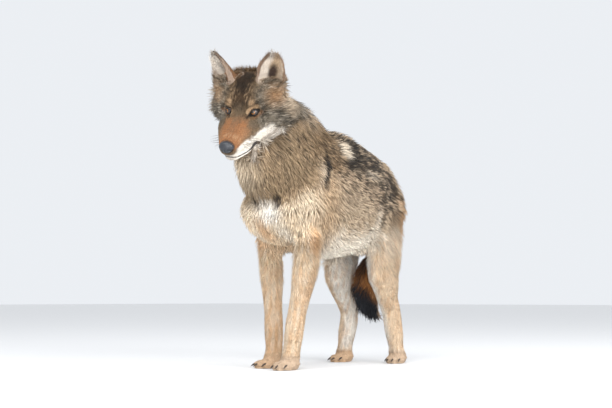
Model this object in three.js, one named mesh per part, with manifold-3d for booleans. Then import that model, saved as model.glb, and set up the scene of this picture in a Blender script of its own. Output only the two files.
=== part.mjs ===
// Grey wolf, life size, standing with its head turned a little to its left and its tail tucked.
// Millimetres, +Z up, -Y the way the wolf faces, +X its left side, the floor at Z = 0.
// Every solid is the outline of the coat. The flesh is modelled whole from lofts, then parted by thin cuts.
import * as THREE from "three";
import Module from "manifold-3d";
import { mergeVertices } from "three/addons/utils/BufferGeometryUtils.js";

const wasm = await Module();
wasm.setup();

// ---------- driving dimensions ----------
const withersHeight = 780; // floor to the top of the coat over the shoulders
const trunkLength = 720; // breast to buttocks, in the coat
const chestWidth = 300; // across the coat behind the elbows
const headLength = 300; // nose to the back of the skull
const coatCut = 0.4; // width of the thin cuts that part the body
const frontFoot = { left: [52, 8], right: [-47, 44] }; // middle of each forefoot on the floor
const hindFoot = { left: [103, 515], right: [-86, 458] }; // middle of each hind foot on the floor
const headPose = { at: [28, -183, 785], turn: 14.7, nod: 40.7, tilt: 9.4 }; // between the eyes, degrees

// ---------- materials ----------
const coat = (name, colour) => {
  const made = new THREE.MeshStandardMaterial({ color: colour, roughness: 0.9, metalness: 0 });
  made.name = name;
  return made;
};
const materials = {
  greyCoat: coat("grey_coat", 0x8a7a63),
  darkCoat: coat("dark_coat", 0x4a4038),
  paleCoat: coat("pale_coat", 0xd8c8ae),
  tanCoat: coat("tan_coat", 0xc9a274),
  rustCoat: coat("rust_coat", 0x9a6136),
  nosePad: new THREE.MeshStandardMaterial({ color: 0x2b2d31, roughness: 0.35, metalness: 0 }),
  eye: new THREE.MeshStandardMaterial({ color: 0xa8702a, roughness: 0.08, metalness: 0 }),
  claw: new THREE.MeshStandardMaterial({ color: 0x2e2621, roughness: 0.4, metalness: 0 }),
};

// ---------- shapes ----------
const vector = ([x, y, z]) => new THREE.Vector3(x, y, z);
const side = new THREE.Vector3(1, 0, 0);

// A manifold-3d solid from a closed three.js geometry.
function solid(geometry) {
  const bare = geometry.clone();
  bare.deleteAttribute("normal");
  bare.deleteAttribute("uv");
  const merged = mergeVertices(bare, 1e-3);
  return new wasm.Manifold(
    new wasm.Mesh({
      numProp: 3,
      vertProperties: Float32Array.from(merged.attributes.position.array),
      triVerts: Uint32Array.from(merged.index.array),
    }),
  );
}

// A closed body through stations. A station has its centre `at`, half width `wide` across the wolf,
// and half depths `up` and `down` either way in the plane of the path: for a path that runs towards
// the tail they are above and below, and for one that runs down a leg they are behind and in front.
// `square` over 2 makes the section boxier. `round` is how far the two ends bulge.
function loft(stations, { sides = 20, rings = 16, square = 2, round = [0, 0] } = {}) {
  const path = new THREE.CatmullRomCurve3(stations.map((s) => vector(s.at)), false, "catmullrom", 0.5);
  const sizes = stations.map((s) => new THREE.Vector3(s.wide, s.up, s.down ?? s.up));
  const size = new THREE.CatmullRomCurve3(sizes, false, "catmullrom", 0.5);
  const positions = [];
  const corner = (value) => Math.sign(value) * Math.abs(value) ** (2 / square);
  const ring = (t, shrink, bulge) => {
    const along = path.getTangent(t);
    const across = side.clone().addScaledVector(along, -side.dot(along)).normalize();
    const above = across.clone().cross(along);
    const middle = path.getPoint(t).addScaledVector(along, bulge);
    const { x: wide, y: up, z: down } = size.getPoint(t);
    for (let j = 0; j < sides; j++) {
      const angle = (2 * Math.PI * j) / sides;
      const reach = Math.sin(angle) > 0 ? up : down;
      const point = middle
        .clone()
        .addScaledVector(across, shrink * wide * corner(Math.cos(angle)))
        .addScaledVector(above, shrink * reach * corner(Math.sin(angle)));
      positions.push(...point.toArray());
    }
  };
  const capRings = [0.45, 0.8]; // how far in from a bulging end's tip its two extra rings lie
  if (round[0]) capRings.forEach((a) => ring(0, Math.sqrt(1 - (1 - a) ** 2), -round[0] * (1 - a)));
  for (let i = 0; i <= rings; i++) ring(i / rings, 1, 0);
  if (round[1]) capRings.toReversed().forEach((a) => ring(1, Math.sqrt(1 - (1 - a) ** 2), round[1] * (1 - a)));
  const count = positions.length / 3 / sides;
  const tips = [0, 1].map((t, i) => {
    const outward = path.getTangent(t).multiplyScalar(t ? round[i] : -round[i]);
    positions.push(...path.getPoint(t).add(outward).toArray());
    return positions.length / 3 - 1;
  });
  const index = [];
  for (let i = 0; i < count - 1; i++) {
    for (let j = 0; j < sides; j++) {
      const next = (j + 1) % sides;
      const [a, b, c, d] = [i * sides + j, (i + 1) * sides + j, i * sides + next, (i + 1) * sides + next];
      index.push(a, b, c, b, d, c);
    }
  }
  for (let j = 0; j < sides; j++) {
    const next = (j + 1) % sides;
    index.push(tips[0], j, next, tips[1], (count - 1) * sides + next, (count - 1) * sides + j);
  }
  const geometry = new THREE.BufferGeometry();
  geometry.setAttribute("position", new THREE.Float32BufferAttribute(positions, 3));
  geometry.setIndex(index);
  return geometry;
}

// An ellipsoid with its half sizes along X, Y and Z, turned by degrees about X, Y and Z.
function ellipsoid(at, halfSizes, turned = [0, 0, 0], detail = 12) {
  const ball = new THREE.SphereGeometry(1, detail, Math.round(detail * 0.7));
  const turn = new THREE.Euler(...turned.map(THREE.MathUtils.degToRad));
  return ball.applyMatrix4(
    new THREE.Matrix4().compose(vector(at), new THREE.Quaternion().setFromEuler(turn), vector(halfSizes)),
  );
}

const union = (...solids) => solids.reduce((all, one) => all.add(one));

// ---------- trunk, neck and tail ----------
const level = (y, top, bottom, wide) => ({ at: [0, y, (top + bottom) / 2], wide, up: (top - bottom) / 2 });

function trunk() {
  const half = chestWidth / 2;
  const barrel = loft(
    [
      level(-15, 640, 425, half * 0.74),
      level(50, 705, 384, half * 0.9),
      level(130, 748, 348, half * 0.98),
      level(235, withersHeight, 345, half * 1.02),
      level(335, withersHeight - 14, 356, half * 0.98),
      level(440, withersHeight - 42, 372, half * 0.84),
      level(530, withersHeight - 62, 396, half * 0.64),
      level(595, withersHeight - 92, 430, half * 0.48),
      level(trunkLength - 85, withersHeight - 135, 490, half * 0.36),
    ],
    { sides: 20, rings: 12, square: 2.15, round: [25, 20] },
  );
  const breast = ellipsoid([0, 44, 503], [half * 1.03, 116, 128], [0, 0, 0], 12);
  return union(solid(barrel), solid(breast));
}

function neck() {
  return solid(
    loft(
      [
        { at: [26, -85, 815], wide: 97, up: 80, down: 95 },
        { at: [18, -25, 745], wide: 116, up: 140, down: 172 },
        { at: [6, 45, 672], wide: 134, up: 170, down: 196 },
        { at: [0, 125, 600], wide: 140, up: 160, down: 180 },
      ],
      { sides: 18, rings: 7, square: 2.1, round: [30, 0] },
    ),
  );
}

function tail(grow = 0) {
  const station = (x, y, z, wide, up) => ({ at: [x, y, z], wide: wide + grow, up: up + grow });
  return solid(
    loft(
      [
        station(0, 600, 640, 32, 32),
        station(0, 645, 580, 34, 36),
        station(-2, 635, 480, 36, 46),
        station(-5, 585, 392, 36, 52),
        station(-7, 512, 318, 40, 55),
        station(-6, 478, 250, 42, 56),
        station(-4, 498, 198, 34, 44),
        station(-2, 530, 168, 17, 22),
      ],
      { sides: 11, rings: 10, round: [grow, 10 + grow] },
    ),
  );
}

// ---------- legs ----------
// Stations down a leg are offsets from its foot, so that each leg follows its own foot.
function foreleg(foot, lean, bow) {
  const out = Math.sign(foot[0]);
  const station = (x, y, z, wide, up, down) => ({
    at: [foot[0] + out * x * bow, foot[1] + lean * z + y, z],
    wide,
    up,
    down,
  });
  return solid(
    loft(
      [
        station(36, 24, 560, 44, 66, 74),
        station(43, 14, 470, 46, 68, 68),
        station(43, 16, 410, 44, 62, 54),
        station(41, 20, 358, 42, 50, 44),
        station(36, 20, 305, 38, 42, 38),
        station(27, 16, 235, 28, 31, 28),
        station(16, 12, 170, 25, 26, 25),
        station(12, 10, 138, 27, 28, 26),
        station(7, 9, 92, 26, 26, 24),
        station(3, 8, 48, 31, 30, 30),
        station(2, 0, 26, 30, 26, 30),
      ],
      { sides: 10, rings: 12 },
    ),
  );
}

function hindLeg(foot, knee, hock) {
  const own = Math.abs(foot[0]);
  const out = Math.sign(foot[0]);
  const station = (x, y, z, wide, up, down) => ({ at: [out * x, y, z], wide, up, down });
  const slant = (part) => [own + (hock[0] - own) * part, foot[1] + (hock[1] - foot[1]) * part];
  return solid(
    loft(
      [
        station(48, knee + 88, 600, 44, 72, 92),
        station(68, knee + 68, 520, 50, 74, 108),
        station(77, knee + 34, 445, 50, 80, 92),
        station(83, knee + 14, 375, 45, 80, 72),
        station(86, knee + 4, 310, 40, 72, 62),
        station(86, knee + 20, 258, 33, 52, 46),
        station(hock[0], hock[1] - 22, 212, 26, 38, 32),
        station(hock[0], hock[1], 168, 25, 32, 28),
        station(...slant(0.72), 125, 25, 28, 27),
        station(...slant(0.4), 75, 25, 27, 26),
        station(...slant(0.18), 42, 29, 28, 28),
        station(own, foot[1], 26, 29, 26, 28),
      ],
      { sides: 10, rings: 13 },
    ),
  );
}

// A paw: the heel and four toes with their claws, turned by degrees. The sole is cut flat later.
const toePlaces = [
  { name: "inner", x: -25, y: -20, size: 0.86 },
  { name: "second", x: -9, y: -37, size: 1 },
  { name: "third", x: 9, y: -37, size: 1 },
  { name: "outer", x: 25, y: -20, size: 0.86 },
];
function paw(foot, turned, size) {
  const turn = new THREE.Matrix4()
    .makeTranslation(foot[0], foot[1], 0)
    .multiply(new THREE.Matrix4().makeRotationZ(THREE.MathUtils.degToRad(turned)));
  const place = (geometry) => solid(geometry.applyMatrix4(turn));
  const away = Math.sign(foot[0]); // the inner toe is the one nearer the other foot
  const toes = toePlaces.map(({ name, x, y, size: k }) => {
    const [tx, ty] = [away * x * size, y * size];
    const pad = place(ellipsoid([tx, ty, 13], [13 * size * k, 25 * size, 17 * k], [8, 0, -tx * 0.5], 6));
    const claw = (grow) =>
      place(
        loft(
          [
            { at: [tx * 1.02, ty - 8, 16], wide: 3 + grow, up: 3.9 + grow },
            { at: [tx * 1.06, ty - 23 * k, 14], wide: 2.6 + grow, up: 3.5 + grow },
            { at: [tx * 1.1, ty - 32 * k, 6.5], wide: 1.1 + grow, up: 1.3 + grow },
          ],
          { sides: 5, rings: 2 },
        ),
      );
    return { name, pad, claw };
  });
  const heel = place(ellipsoid([0, 4, 20], [33 * size, 38 * size, 26], [0, 0, 0], 8));
  return { solid: union(heel, ...toes.map(({ pad }) => pad)), toes };
}

// ---------- head ----------
const headTurn = new THREE.Matrix4()
  .makeTranslation(...headPose.at)
  .multiply(new THREE.Matrix4().makeRotationZ(THREE.MathUtils.degToRad(headPose.turn)))
  .multiply(new THREE.Matrix4().makeRotationX(THREE.MathUtils.degToRad(headPose.nod)))
  .multiply(new THREE.Matrix4().makeRotationY(THREE.MathUtils.degToRad(headPose.tilt)));
const onHead = (geometry) => solid(geometry.applyMatrix4(headTurn));
const both = (make) => [-1, 1].map(make);

function skull() {
  const face = loft(
    [
      level(-138, -30, -70, 21),
      level(-120, -24, -78, 32),
      level(-88, -16, -83, 40),
      level(-55, -7, -89, 46),
      level(-28, 2, -99, 54),
      level(0, 13, -106, 68),
      level(25, 33, -106, 87),
      level(55, 65, -108, 102),
      level(92, 86, -100, 104),
      level(headLength - 165, 74, -72, 88),
    ],
    { sides: 18, rings: 14, square: 2.2, round: [6, 30] },
  );
  const jaw = loft(
    [
      level(-119, -76, -101, 19),
      level(-95, -72, -107, 29),
      level(-50, -66, -113, 40),
      level(0, -60, -116, 54),
    ],
    { sides: 12, rings: 4, square: 2.2, round: [6, 10] },
  );
  const cheeks = both((s) => ellipsoid([s * 64, 66, -32], [52, 64, 68], [-12, 0, s * 14], 11));
  const brows = both((s) => ellipsoid([s * 34, 18, 17], [25, 18, 12], [35, s * 20, 0], 7));
  return union(onHead(face), onHead(jaw), ...cheeks.map(onHead), ...brows.map(onHead));
}

// An ear: a leaf-shaped cup that opens forwards and outwards.
const earLean = { right: 3, left: 14 };
const earTurn = (s) =>
  new THREE.Matrix4()
    .makeTranslation(s * 72, 72, 42)
    .multiply(
      new THREE.Matrix4().makeRotationFromEuler(
        new THREE.Euler(...[5, s < 0 ? -earLean.right : earLean.left, s * 30].map(THREE.MathUtils.degToRad), "ZYX"),
      ),
    );
function ear(s) {
  const shape = [
    { height: -26, y: 0, wide: 36, deep: 28 },
    { height: 4, y: 1, wide: 43, deep: 32 },
    { height: 30, y: 2, wide: 47, deep: 31 },
    { height: 60, y: 0, wide: 42, deep: 23 },
    { height: 90, y: -4, wide: 34, deep: 15 },
    { height: 118, y: -9, wide: 18, deep: 8 },
  ];
  const shell = (from, scale, forward, round) => {
    const stations = shape
      .slice(from)
      .map(({ height, y, wide, deep }) => ({ at: [0, y + forward, height], wide: wide * scale, up: deep * scale }));
    return onHead(loft(stations, { sides: 9, rings: 5, round }).applyMatrix4(earTurn(s)));
  };
  return shell(0, 1, 0, [0, 8]).subtract(shell(2, 0.84, -9, [14, 5]));
}

const eye = (s, grow) => onHead(ellipsoid([s * 39.5, 4.5, -7.5], [13 + grow, 13 + grow, 13 + grow], [0, 0, 0], 9));

const eyeOpening = (s) => onHead(ellipsoid([s * 47, -7, 3], [13, 9, 8], [42, s * 14, s * 36], 7));

function nose(grow) {
  const pad = onHead(ellipsoid([0, -137, -43], [23 + grow, 16 + grow, 19 + grow], [14, 0, 0], 10));
  if (grow) return pad;
  const nostrils = both((s) => onHead(ellipsoid([s * 11, -153, -44], [4.6, 7, 4], [0, s * 30, s * 12], 7)));
  return nostrils.reduce((left, nostril) => left.subtract(nostril), pad);
}

// ---------- whole flesh ----------
const paws = {
  left_fore: paw(frontFoot.left, -4, 1),
  right_fore: paw(frontFoot.right, -26, 1),
  left_hind: paw(hindFoot.left, 8, 0.94),
  right_hind: paw(hindFoot.right, -10, 0.94),
};
const claws = Object.entries(paws).flatMap(([leg, { toes }]) =>
  toes.map(({ name, claw }) => ({ name: `${leg}_${name}_claw`, claw })),
);
let flesh = union(
  trunk(),
  neck(),
  skull(),
  ...both(ear),
  foreleg(frontFoot.left, 0.05, 1),
  foreleg(frontFoot.right, 0.1, 1.36),
  hindLeg(hindFoot.left, 452, [84, 508]),
  hindLeg(hindFoot.right, 430, [82, 488]),
  ...Object.values(paws).map((made) => made.solid),
);
const inlaid = [...both(eyeOpening), tail(coatCut), nose(coatCut), ...both((s) => eye(s, coatCut)), ...claws.map(({ claw }) => claw(coatCut))];
for (const piece of inlaid) flesh = flesh.subtract(piece);

// ---------- the body, parted ----------
// A region is what lies on the inner side of every one of its planes, each a point and an outward direction.
const vast = 1600;
function region(planes, grow, within = new THREE.Matrix4()) {
  const halves = planes.map(([at, out]) => {
    const normal = vector(out).normalize();
    const turn = new THREE.Quaternion().setFromUnitVectors(new THREE.Vector3(0, 0, 1), normal);
    const middle = vector(at).addScaledVector(normal, grow - vast / 2);
    return solid(
      new THREE.BoxGeometry(vast, vast, vast)
        .applyMatrix4(new THREE.Matrix4().compose(middle, turn, new THREE.Vector3(1, 1, 1)))
        .applyMatrix4(within),
    );
  });
  return halves.reduce((all, one) => all.intersect(one));
}
function take(planes, within) {
  const taken = flesh.intersect(region(planes, 0, within));
  flesh = flesh.subtract(region(planes, coatCut, within));
  return taken;
}
const aboveFloor = region([[[0, 0, 0], [0, 0, -1]]], 0);
flesh = flesh.intersect(aboveFloor);

const ears = both((s) =>
  take(
    [
      [[0, 0, 24], [0, 0, -1]],
      [[50, 0, 0], [1, 0, 0]],
      [[-50, 0, 0], [-1, 0, 0]],
      [[0, 45, 0], [0, 1, 0]],
    ],
    headTurn.clone().multiply(earTurn(s)),
  ),
);
const lowerJaw = take(
  [
    [[0, -108, -80], [0, 0.02, 1]],
    [[0, -52, -80], [0, 1, 0]],
    [[0, -50, -116], [0, 0, -1]],
    [[48, 0, 0], [1, 0, 0]],
    [[-48, 0, 0], [-1, 0, 0]],
  ],
  headTurn,
);
const head = take([[[0, -50, 770], [0, 0.65, -0.76]]]);
const neckPiece = take([[[0, 60, 640], [0, 0.7, -0.7]]]);
const legNames = ["right_fore", "left_fore", "right_hind", "left_hind"];
const feet = [frontFoot.right, frontFoot.left, hindFoot.right, hindFoot.left];
const pawPieces = feet.map(([x, y]) =>
  take([
    [[0, 0, 46], [0, 0, 1]],
    [[x - 52, 0, 0], [-1, 0, 0]],
    [[x + 52, 0, 0], [1, 0, 0]],
    [[0, y - 95, 0], [0, -1, 0]],
    [[0, y + 70, 0], [0, 1, 0]],
  ]),
);
const legPieces = feet.map(([x], i) => {
  const s = Math.sign(x);
  const inner = [[s * 2, 0, 0], [-s, 0, 0]];
  return i < 2
    ? take([inner, [[s * 80, 50, 388], [-s * 0.59, 0, 0.81]], [[0, 118, 200], [0, 1, 0]]])
    : take([inner, [[s * 30, 0, 400], [-s * 0.85, 0, 0.53]], [[0, 365, 330], [0, -0.894, 0.447]]]);
});

// ---------- meshes ----------
const wolf = new THREE.Group();

// The largest connected piece of a mesh, without the crumbs that thin cuts leave.
function largestPiece(triangles, count) {
  const root = Array.from({ length: count }, (_, i) => i);
  const find = (i) => {
    while (root[i] !== i) i = root[i] = root[root[i]];
    return i;
  };
  for (let i = 0; i < triangles.length; i += 3) {
    root[find(triangles[i + 1])] = find(triangles[i]);
    root[find(triangles[i + 2])] = find(triangles[i]);
  }
  const sizes = new Map();
  for (const corner of triangles) sizes.set(find(corner), (sizes.get(find(corner)) ?? 0) + 1);
  const [most] = [...sizes].reduce((a, b) => (b[1] > a[1] ? b : a));
  return triangles.filter((_, i) => find(triangles[i - (i % 3)]) === most);
}
function show(name, made, material) {
  const raw = made.getMesh();
  const geometry = new THREE.BufferGeometry();
  geometry.setAttribute("position", new THREE.Float32BufferAttribute(raw.vertProperties, 3));
  geometry.setIndex(new THREE.Uint32BufferAttribute(largestPiece(raw.triVerts, raw.vertProperties.length / 3), 1));
  const mesh = new THREE.Mesh(geometry, material);
  mesh.name = name;
  wolf.add(mesh);
}
show("head", head, materials.greyCoat);
show("lower_jaw", lowerJaw, materials.paleCoat);
show("right_ear", ears[0], materials.rustCoat);
show("left_ear", ears[1], materials.rustCoat);
show("neck", neckPiece, materials.greyCoat);
show("trunk", flesh, materials.greyCoat);
show("tail", tail(), materials.rustCoat);
legNames.forEach((name, i) => {
  show(`${name}_leg`, legPieces[i], materials.tanCoat);
  show(`${name}_paw`, pawPieces[i], materials.paleCoat);
});
show("nose", nose(0), materials.nosePad);
show("right_eye", eye(-1, 0), materials.eye);
show("left_eye", eye(1, 0), materials.eye);
for (const { name, claw } of claws) show(name, claw(0), materials.claw);

// The middle of the whole box goes to X = 0, Y = 0.
const whole = new THREE.Box3().setFromObject(wolf);
const middle = whole.getCenter(new THREE.Vector3());
for (const mesh of wolf.children) mesh.geometry.translate(-middle.x, -middle.y, -whole.min.z);

export default wolf;
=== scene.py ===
from math import cos, pi, radians, sin

import bmesh
import bpy
import numpy as np
from mathutils import Matrix, Vector
from mathutils.bvhtree import BVHTree


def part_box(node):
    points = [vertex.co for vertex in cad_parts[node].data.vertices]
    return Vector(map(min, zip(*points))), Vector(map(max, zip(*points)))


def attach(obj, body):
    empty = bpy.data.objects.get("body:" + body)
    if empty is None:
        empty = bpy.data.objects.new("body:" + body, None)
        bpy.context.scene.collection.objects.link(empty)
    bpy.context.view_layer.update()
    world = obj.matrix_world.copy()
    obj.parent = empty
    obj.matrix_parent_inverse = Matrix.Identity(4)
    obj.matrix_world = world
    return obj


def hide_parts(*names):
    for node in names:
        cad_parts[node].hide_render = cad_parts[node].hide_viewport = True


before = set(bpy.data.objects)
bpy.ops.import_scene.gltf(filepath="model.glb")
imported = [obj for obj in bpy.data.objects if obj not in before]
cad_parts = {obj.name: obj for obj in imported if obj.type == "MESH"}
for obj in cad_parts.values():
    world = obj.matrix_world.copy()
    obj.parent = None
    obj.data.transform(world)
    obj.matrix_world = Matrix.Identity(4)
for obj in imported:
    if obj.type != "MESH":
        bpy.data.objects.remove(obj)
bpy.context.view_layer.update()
random = np.random.default_rng(7)
collection = bpy.context.scene.collection

# the wolf's own frame: x to its left, y to its tail, z up, midline at x = 0, between the forefeet at y = 0
def boxMiddle(node):
    low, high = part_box(node)
    return (np.array(low) + np.array(high)) / 2

eyeMiddle = {"right": boxMiddle("right_eye"), "left": boxMiddle("left_eye")}
bodyFrom = eyeMiddle["left"] - np.array((0.0614, -0.1614, 0.7774))
def turned(axis, degrees):
    return Matrix.Rotation(radians(degrees), 3, axis)

headAxes = np.array(turned("Z", 14.7) @ turned("X", 40.7) @ turned("Y", 9.4))
headFrom = (eyeMiddle["left"] + eyeMiddle["right"]) / 2 - headAxes @ np.array((0, 0.0045, -0.0075))

eyeSpot = {s: np.array((s * 39.5, 4.5, -7.5)) for s in (-1, 1)}  # on the head, in its own frame
noseSpot, noseSize = np.array((0, -137, -43)), np.array((23, 16, 19))

def toBody(p):
    return p - bodyFrom

def toHead(p):  # millimetres: x left, y back, z up, from between the eyes
    return (p - headFrom) @ headAxes * 1000

def fromHead(p):
    return headFrom + headAxes @ (np.asarray(p, float) / 1000)

def dirFromHead(d):
    return np.asarray(d, float) @ headAxes.T

def earAxes(s):
    return np.array(turned("Z", s * 30) @ turned("Y", 14 if s > 0 else -3) @ turned("X", 5))

def toEar(headPoints, s):
    return (headPoints - np.array((s * 72, 72, 42))) @ earAxes(s)

def step(a, b, x):
    t = np.clip((x - a) / (b - a), 0, 1)
    return t * t * (3 - 2 * t)

def unit(v):
    return v / np.maximum(np.linalg.norm(v, axis=-1, keepdims=True), 1e-9)

def linear(*rgb):
    c = np.array(rgb, float) / 255
    return np.where(c <= 0.04045, c / 12.92, ((c + 0.055) / 1.055) ** 2.4)

waves = random.normal(size=(3, 9, 3))
phases = random.uniform(0, 2 * pi, (3, 9))

def ripple(p, size, which=0):  # soft noise from -1 to 1 with lumps of about that size
    angle = p @ waves[which].T * (2.6 / size) + phases[which]
    return np.clip(np.sin(angle).sum(1) / 3, -1, 1)


# ---- skin: one surface over every flesh node ----
skinMake = {"fatten": 0.0006, "voxel": 0.0030, "faces": 178000}
fleshNodes = ["head", "lower_jaw", "right_ear", "left_ear", "neck", "trunk", "tail"]
for leg in ("right_fore", "left_fore", "right_hind", "left_hind"):
    fleshNodes += [leg + "_leg", leg + "_paw"]

def mergedFlesh():
    whole, owner = bmesh.new(), []
    for number, name in enumerate(fleshNodes):
        part = bmesh.new()
        part.from_mesh(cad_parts[name].data)
        bmesh.ops.remove_doubles(part, verts=part.verts, dist=2e-5)
        part.normal_update()
        for v in part.verts:
            v.co += v.normal * skinMake["fatten"]
        mesh = bpy.data.meshes.new("part")
        part.to_mesh(mesh)
        whole.from_mesh(mesh)
        owner += [number] * len(mesh.polygons)
        bpy.data.meshes.remove(mesh)
        part.free()
    tree = BVHTree.FromBMesh(whole)
    mesh = bpy.data.meshes.new("flesh")
    whole.to_mesh(mesh)
    whole.free()
    return mesh, tree, np.array(owner)

fleshMesh, fleshTree, fleshOwner = mergedFlesh()
fleshObject = bpy.data.objects.new("flesh_copy", fleshMesh)
collection.objects.link(fleshObject)
remesh = fleshObject.modifiers.new("remesh", "REMESH")
remesh.mode = "VOXEL"
remesh.voxel_size = skinMake["voxel"]
skinMesh = bpy.data.meshes.new_from_object(fleshObject.evaluated_get(bpy.context.evaluated_depsgraph_get()))
bpy.data.objects.remove(fleshObject)
skinMesh.name = "wolf_skin"

def readAll(items, what, width, kind=float):
    out = np.empty(len(items) * width, kind)
    items.foreach_get(what, out)
    return out.reshape(-1, width)

def normalsOf(mesh):
    return readAll(mesh.vertex_normals, "vector", 3)

def setPoints(mesh, p):
    mesh.vertices.foreach_set("co", p.astype(np.float32).ravel())
    mesh.update()

spot = readAll(skinMesh.vertices, "co", 3)
count = len(spot)
edges = readAll(skinMesh.edges, "vertices", 2, int)
links = np.maximum(np.bincount(edges.ravel(), minlength=count), 1)

def spread(values, rounds=1, pull=1.0):  # averages a value over neighbouring points
    flat = values.ndim == 1
    v = values[:, None] if flat else values
    for _ in range(rounds):
        near = np.stack([np.bincount(edges[:, 0], v[edges[:, 1], c], count)
            + np.bincount(edges[:, 1], v[edges[:, 0], c], count) for c in range(v.shape[1])], 1)
        v = v + (near / links[:, None] - v) * (pull if np.ndim(pull) == 0 else pull[:, None])
    return v[:, 0] if flat else v

node = np.array([fleshOwner[fleshTree.find_nearest(Vector(p))[2]] for p in spot])
names = np.array(fleshNodes)[node]
print("skin points", count)

def nodeMask(*parts, rounds=12):
    return spread(np.isin(names, parts).astype(float), rounds)

mask = {
    "head": nodeMask("head", "lower_jaw", rounds=4),
    "ear": nodeMask("right_ear", "left_ear", rounds=3),
    "neck": nodeMask("neck", rounds=30),
    "trunk": nodeMask("trunk", rounds=30),
    "tail": nodeMask("tail", rounds=8),
    "fore": nodeMask("right_fore_leg", "left_fore_leg", rounds=14),
    "hind": nodeMask("right_hind_leg", "left_hind_leg", rounds=14),
    "paw": nodeMask("right_fore_paw", "left_fore_paw", "right_hind_paw", "left_hind_paw", rounds=4),
}
head, body = toHead(spot), toBody(spot)
fromEye = np.min([np.linalg.norm(spot - m, axis=1) for m in eyeMiddle.values()], axis=0) * 1000
fromNose = np.linalg.norm(head - np.array((0, -136, -42)), axis=1)

# rounds of smoothing, so that joins between solids flow into each other
backOfHead = step(60, 120, head[:, 1]) * mask["head"]
softness = (mask["trunk"] * 130 + mask["neck"] * 130 + mask["tail"] * 40 + mask["fore"]
    * (30 + 60 * step(0.3, 0.4, body[:, 2])) + mask["hind"] * (30 + 70 * step(0.3, 0.45, body[:, 2]))
            + mask["head"] * (14 + 60 * backOfHead) + mask["paw"] * 4)
softness = spread(np.where(fromEye < 24, 2, softness), 6)
softness = softness * (1 - mask["ear"].clip(0, 1)) + 1.5 * mask["ear"].clip(0, 1)
p = spot.copy()
for i in range(130):
    p = p + (spread(p) - p) * (0.6 * np.clip(softness - i, 0, 1))[:, None]
setPoints(skinMesh, p)
outward = normalsOf(skinMesh)
shrunk = ((spot - p) * outward).sum(1)  # what smoothing took off broad forms is given back
onHead = mask["head"].clip(0, 1) * (1 - backOfHead)
p = p + outward * (spread(shrunk, 60) * (1 - onHead) + (spread(shrunk, 8) + 0.0008) * onHead)[:, None]
legs = (mask["fore"] + mask["hind"]).clip(0, 1) * step(0.50, 0.40, body[:, 2])
p = p + outward * (legs * step(0.045, 0.11, body[:, 2]) * (0.0052 + 0.0015 * mask["hind"]))[:, None]
p[:, 2] = np.maximum(p[:, 2], 0)
p[:, 2] = np.where(spot[:, 2] < 0.002, spot[:, 2].clip(0), p[:, 2])

# the skin dips round each eye, where the lids lie
eyeOut = {s: unit(np.array((s * 0.42, -0.76, 0.49))) for s in (-1, 1)}
at = toHead(p)
for s in (-1, 1):
    away = at - eyeSpot[s]
    rise = away @ eyeOut[s]
    reach = np.linalg.norm(away - rise[:, None] * eyeOut[s], axis=1)
    dish = 3.2 + np.maximum(reach - 15, 0) * 0.45
    dip = (1 - step(16, 25, reach)) * (rise > -8) * step(-2, 3, rise) * (np.linalg.norm(away, axis=1) < 40)
    at = at + (np.minimum(dish - rise, 0) * dip)[:, None] * eyeOut[s]
# broader lips and cheeks, fuller fur behind the ears
hx, hy, hz = at.T
at[:, 0] = hx * (1 + onHead * (0.10 * step(-122, -85, hy) * step(15, -25, hy) + 0.17
    * step(-112, -60, hy) * step(20, -15, hy) * step(-20, -50, hz)) * step(6, 20, np.abs(hx)))
low = np.linalg.norm((np.stack([-hx, hy, hz], 1) - np.array((56, -22, -62))) / np.array((26, 36, 26)), axis=1)
at[:, 0] = at[:, 0] - 11 * np.exp(-(low**2)) * (mask["head"].clip(0, 1))
away = np.linalg.norm(np.stack([np.abs(hx), hy, hz], 1) - np.array((112, 84, -2)), axis=1)
at = at + (14 * np.exp(-((away / 36) ** 2)) * (1 - mask["ear"].clip(0, 1)))[:, None] * (outward @ headAxes)
for s in (-1, 1):
    e = toEar(at, s)
    medial = -e[:, 0] * s
    onEar = mask["ear"].clip(0, 1) * (np.sign(at[:, 0]) == s)
    shift = (11 * step(80, 20, e[:, 2]) * step(-5, 25, medial) + 8
        * step(20, 110, e[:, 2])) if s < 0 else 7 * step(35, 75, e[:, 2]) * step(-4, 12, medial)
    at = at + (onEar * spread(shift, 3))[:, None] * -s * earAxes(s)[:, 0]
p = headFrom + at @ headAxes.T / 1000
for _ in range(2):
    p = p + (spread(p) - p) * (0.5 * (fromEye < 40))[:, None]
coatSurface = p.copy()

def byPart(**values):  # mixes one value for each part of the body
    return sum(mask[part] * value for part, value in values.items()) / np.maximum(sum(mask.values()), 0.2)

# how deep the skin was meant to lie in the coat, in millimetres, before the legs were filled out
def legFade(low, high, thin, thick):
    return thin + (thick - thin) * step(low, high, body[:, 2])

muzzle = step(-20, -50, head[:, 1])
cheek = step(45, 75, np.abs(head[:, 0])) * step(-30, 20, head[:, 1])
throat = step(-70, -100, head[:, 2]) * step(-60, 0, head[:, 1])
earBase = np.max([1 - step(48, 78, np.linalg.norm(toEar(head, s) - np.array((0, 0, 12)), axis=1))
    for s in (-1, 1)], axis=0)
headDepth = (5 - 3.4 * muzzle + 11 * np.maximum(cheek, throat) + 12 * step(60, 120, head[:, 1])) * (1
    - 0.65 * earBase)
headDepth = np.where(fromEye < 26, 0.8, headDepth)
depth = byPart(head=headDepth, ear=1.2, neck=27, trunk=19, tail=17,
               fore=legFade(0.24, 0.38, 3.5, 14), hind=legFade(0.24, 0.42, 3.5, 14), paw=2.2)
depth = spread(depth, 6)
depth = np.where(spot[:, 2] < 0.004, 0, depth)
setPoints(skinMesh, p)
insetSteps = 8
for i in range(insetSteps):
    p = p - normalsOf(skinMesh) * (depth / insetSteps / 1000)[:, None]
    p = p + (spread(p) - p) * (np.clip(depth / 20, 0, 0.8) * 0.7)[:, None]
    p[:, 2] = np.maximum(p[:, 2], 0)
    setPoints(skinMesh, p)
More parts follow.
